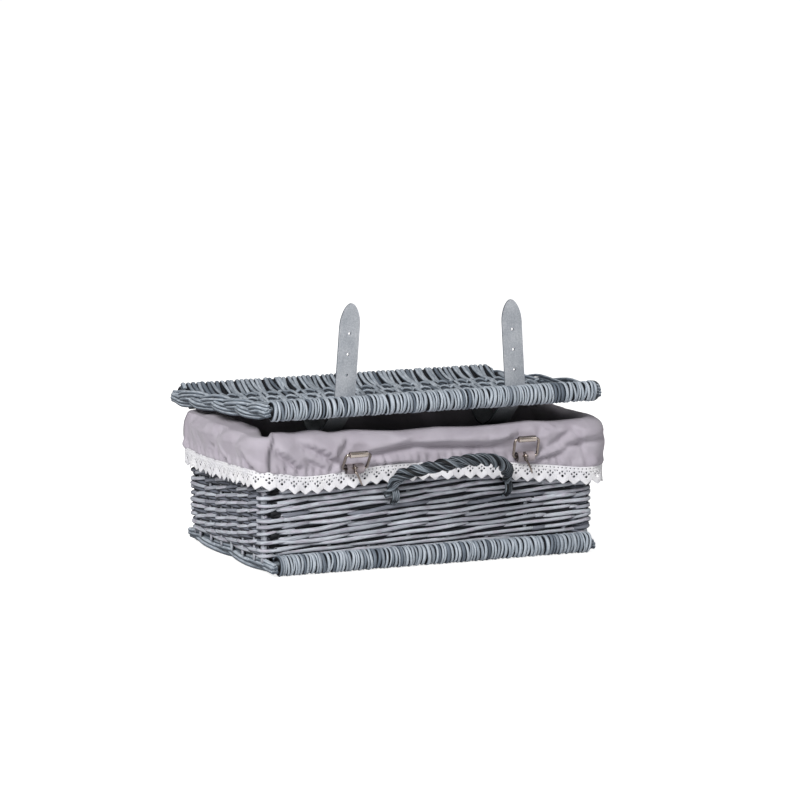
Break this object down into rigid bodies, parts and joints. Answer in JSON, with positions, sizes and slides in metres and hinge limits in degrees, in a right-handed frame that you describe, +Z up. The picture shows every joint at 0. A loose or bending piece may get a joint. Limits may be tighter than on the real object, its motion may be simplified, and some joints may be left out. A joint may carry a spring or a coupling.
{
  "type": "wicker suitcase",
  "caption": "Small lined wicker suitcase with a hinged woven lid, leather straps, roller buckles and a twisted willow handle.",
  "frame": {"origin": "on the ground under the middle of the whole part's box, lid ajar as pictured", "axes": "+X along the length, to the right as seen from the handle side; +Y to the hinge side; +Z up"},
  "size_m": [0.412, 0.3394, 0.2844],
  "materials": {
    "willow": "grey-washed peeled willow, dry satin",
    "dark_willow": "dark grey stained willow",
    "cotton": "plain-weave cotton, mauve grey",
    "lace": "cotton eyelet lace, off-white",
    "leather": "cool grey strap leather, matt",
    "plated_metal": "worn pale plating"
  },
  "bodies": {
    "basket": {"base_front_roll": "willow", "base_back_roll": "willow", "base_weave": "willow", "base_left_plait": "willow", "base_right_plait": "willow", "front_wall": "willow", "back_wall": "willow", "left_wall": "willow", "right_wall": "willow", "front_rim_rod": "willow", "back_rim_rod": "willow", "left_rim_rod": "willow", "right_rim_rod": "willow", "front_left_corner": "willow", "front_right_corner": "willow", "back_left_corner": "willow", "back_right_corner": "willow", "base_front_stick": "dark_willow", "base_back_stick": "dark_willow", "handle_lashing_left": "dark_willow", "handle_lashing_right": "dark_willow", "lining": "cotton", "lace_edging": "lace", "hinge_loop_left": "leather", "hinge_loop_right": "leather", "buckle_tab_left": "leather", "buckle_tab_right": "leather"},
    "lid": {"lid_front_roll": "willow", "lid_back_roll": "willow", "lid_front_stick": "dark_willow", "lid_back_stick": "dark_willow", "lid_weave": "willow", "lid_left_plait": "willow", "lid_right_plait": "willow", "hinge_stick": "dark_willow", "strap_slack_left": "leather", "strap_slack_right": "leather"},
    "strap_tail_left": {"strap_tail_left": "leather"},
    "strap_tail_right": {"strap_tail_right": "leather"},
    "buckle_frame_left": {"buckle_frame_left": "plated_metal"},
    "buckle_frame_right": {"buckle_frame_right": "plated_metal"},
    "buckle_roller_left": {"buckle_roller_left": "plated_metal"},
    "buckle_roller_right": {"buckle_roller_right": "plated_metal"},
    "buckle_prong_left": {"buckle_prong_left": "plated_metal"},
    "buckle_prong_right": {"buckle_prong_right": "plated_metal"},
    "handle": {"handle": "dark_willow"}
  },
  "joints": [
    {"name": "lid_hinge", "type": "hinge", "parent": "basket", "child": "lid", "pos_m": [0, 0.12734, 0.1541], "axis": [-1, 0, 0], "range_deg": [-4, 86]},
    {"name": "strap_bend_left", "type": "hinge", "parent": "lid", "child": "strap_tail_left", "pos_m": [-0.094, -0.08781, 0.18656], "axis": [1, 0, 0], "range_deg": [-88, 74]},
    {"name": "strap_bend_right", "type": "hinge", "parent": "lid", "child": "strap_tail_right", "pos_m": [0.11, -0.08781, 0.18656], "axis": [1, 0, 0], "range_deg": [-88, 74]},
    {"name": "buckle_swing_left", "type": "hinge", "parent": "basket", "child": "buckle_frame_left", "pos_m": [-0.094, -0.11503, 0.11309], "axis": [1, 0, 0], "range_deg": [-35, 85]},
    {"name": "roller_spin_left", "type": "hinge", "parent": "buckle_frame_left", "child": "buckle_roller_left", "pos_m": [-0.094, -0.12707, 0.13029], "axis": [1, 0, 0], "continuous": true},
    {"name": "prong_swing_left", "type": "hinge", "parent": "basket", "child": "buckle_prong_left", "pos_m": [-0.094, -0.11503, 0.11309], "axis": [-1, 0, 0], "range_deg": [-6, 129]},
    {"name": "buckle_swing_right", "type": "hinge", "parent": "basket", "child": "buckle_frame_right", "pos_m": [0.11, -0.11503, 0.11309], "axis": [1, 0, 0], "range_deg": [-15, 105]},
    {"name": "roller_spin_right", "type": "hinge", "parent": "buckle_frame_right", "child": "buckle_roller_right", "pos_m": [0.11, -0.12046, 0.13337], "axis": [1, 0, 0], "continuous": true},
    {"name": "prong_swing_right", "type": "hinge", "parent": "basket", "child": "buckle_prong_right", "pos_m": [0.11, -0.11503, 0.11309], "axis": [-1, 0, 0], "range_deg": [-6, 149]},
    {"name": "handle_swing", "type": "hinge", "parent": "basket", "child": "handle", "pos_m": [0.018, -0.11001, 0.07995], "axis": [-1, 0, 0], "range_deg": [-68, 4]}
  ]
}
